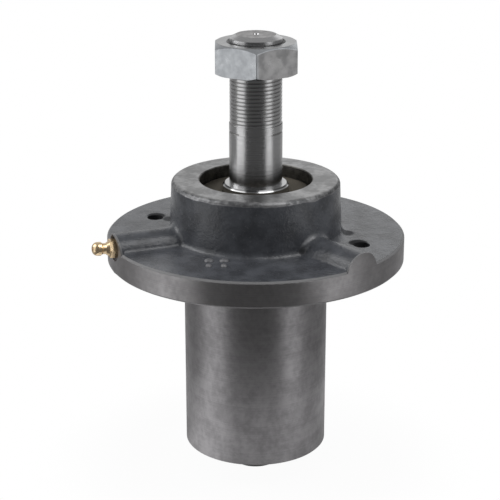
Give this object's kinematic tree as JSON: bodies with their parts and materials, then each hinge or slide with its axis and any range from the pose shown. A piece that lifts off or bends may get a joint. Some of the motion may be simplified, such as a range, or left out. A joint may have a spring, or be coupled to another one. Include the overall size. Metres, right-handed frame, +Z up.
{
  "type": "mower deck spindle assembly",
  "caption": "Mower deck spindle: a cast flanged housing with a pilot tube carries a threaded shaft and nut on taper roller bearings, greased through a fitting in a boss.",
  "frame": {"origin": "centre of the flange's underside, on the shaft's axis", "axes": "+Z up the shaft's axis towards the nut; the picture is taken from -Y"},
  "size_m": [0.1486, 0.1438, 0.2182],
  "materials": {
    "cast_iron": "as cast, machined on the hub top, rim and tube",
    "shaft_steel": "ground and turned, fine thread at the upper end",
    "zinc_steel": "bright zinc plate",
    "bearing_steel": "hardened and ground",
    "cage_steel": "pressed sheet steel",
    "seal_rubber": "matt moulded rubber",
    "seal_case": "pressed sheet steel",
    "spring_steel": "drawn wire",
    "fitting_brass": "yellow plated"
  },
  "bodies": {
    "housing": {"spindle_housing": "cast_iron", "upper_bearing_cup": "bearing_steel", "lower_bearing_cup": "bearing_steel", "upper_seal_case": "seal_case", "upper_seal_lip": "seal_rubber", "upper_seal_spring": "spring_steel", "lower_seal_case": "seal_case", "lower_seal_lip": "seal_rubber", "lower_seal_spring": "spring_steel", "grease_fitting_body": "fitting_brass", "grease_fitting_spring": "spring_steel"},
    "shaft": {"spindle_shaft": "shaft_steel", "spindle_nut": "zinc_steel", "upper_bearing_cone": "bearing_steel", "lower_bearing_cone": "bearing_steel", "bearing_spacer": "shaft_steel", "upper_seal_sleeve": "shaft_steel"},
    "upper_roller_set": {"upper_bearing_rollers": "bearing_steel", "upper_bearing_cage": "cage_steel"},
    "lower_roller_set": {"lower_bearing_rollers": "bearing_steel", "lower_bearing_cage": "cage_steel"},
    "check_ball": {"grease_fitting_ball": "bearing_steel"}
  },
  "joints": [
    {"name": "shaft_spin", "type": "hinge", "parent": "housing", "child": "shaft", "pos_m": [0, 0, 0], "axis": [0, 0, 1], "continuous": true},
    {"name": "upper_rollers_walk", "type": "hinge", "parent": "housing", "child": "upper_roller_set", "pos_m": [0, 0, 0.01756], "axis": [0, 0, 1], "continuous": true},
    {"name": "lower_rollers_walk", "type": "hinge", "parent": "housing", "child": "lower_roller_set", "pos_m": [0, 0, -0.07886], "axis": [0, 0, 1], "continuous": true},
    {"name": "check_ball_slide", "type": "slide", "parent": "housing", "child": "check_ball", "axis": [0.9237, 0.3732, -0.0872], "range_m": [0, 0.0008], "stiffness_N_per_m": 200, "springref_m": -0.002, "deforming": ["grease_fitting_spring"]}
  ],
  "couplings": [
    {"joint": "upper_rollers_walk", "follows": "shaft_spin", "ratio": 0.41785},
    {"joint": "lower_rollers_walk", "follows": "shaft_spin", "ratio": 0.41785}
  ]
}
